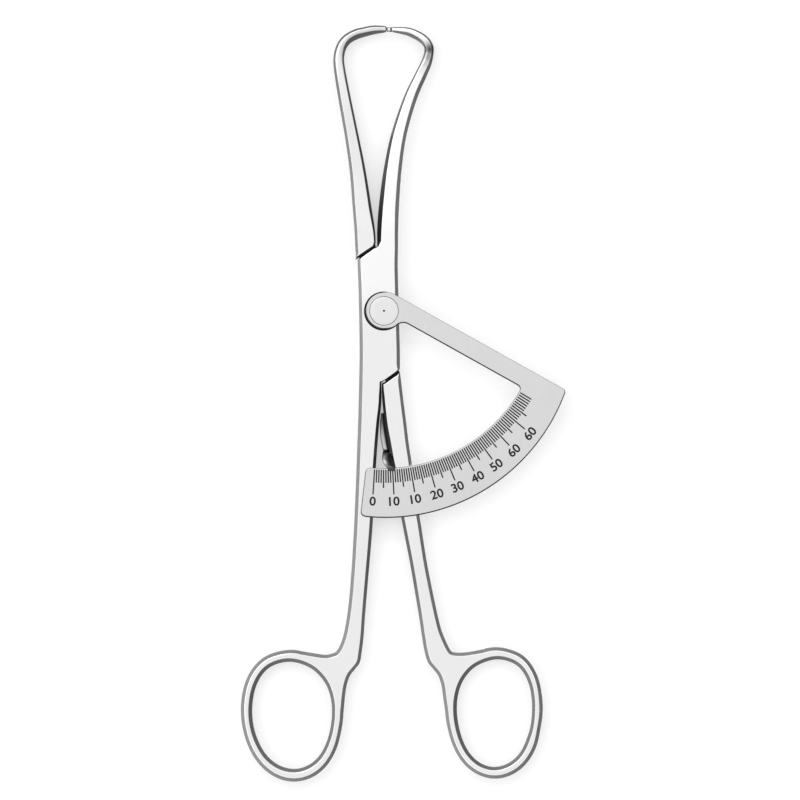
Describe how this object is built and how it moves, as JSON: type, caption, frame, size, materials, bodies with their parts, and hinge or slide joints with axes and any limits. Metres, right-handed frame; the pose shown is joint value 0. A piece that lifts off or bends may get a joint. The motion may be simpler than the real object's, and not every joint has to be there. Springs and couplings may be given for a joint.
{
  "type": "surgical caliper",
  "caption": "Ring-handled steel caliper: two arms cross in a box joint, with bowed jaws that meet at the tips, a sector scale fixed at the pivot, and a bent index pointer on the moving arm.",
  "frame": {"origin": "on the pivot's axis, in the plane of the back on which the caliper lies", "axes": "+Z out of the back towards the scale's front, along the pivot; +Y from the pivot to the tips of the jaws; +X to the side on which the scale stands out"},
  "size_m": [0.1014, 0.2362, 0.0086],
  "materials": {
    "front_arm": "satin stainless steel",
    "rear_arm": "satin stainless steel",
    "pivot_rivet": "satin stainless steel, turned",
    "scale_plate": "fine satin sheet with black-filled marks",
    "index_pointer": "polished strip"
  },
  "bodies": {
    "front": {"front_arm": "front_arm", "pivot_rivet": "pivot_rivet", "scale_plate": "scale_plate"},
    "rear": {"rear_arm": "rear_arm", "index_pointer": "index_pointer"}
  },
  "joints": [
    {"name": "jaw_pivot", "type": "hinge", "parent": "front", "child": "rear", "pos_m": [0, 0, 0], "axis": [0, 0, 1], "range_deg": [0, 53]}
  ]
}
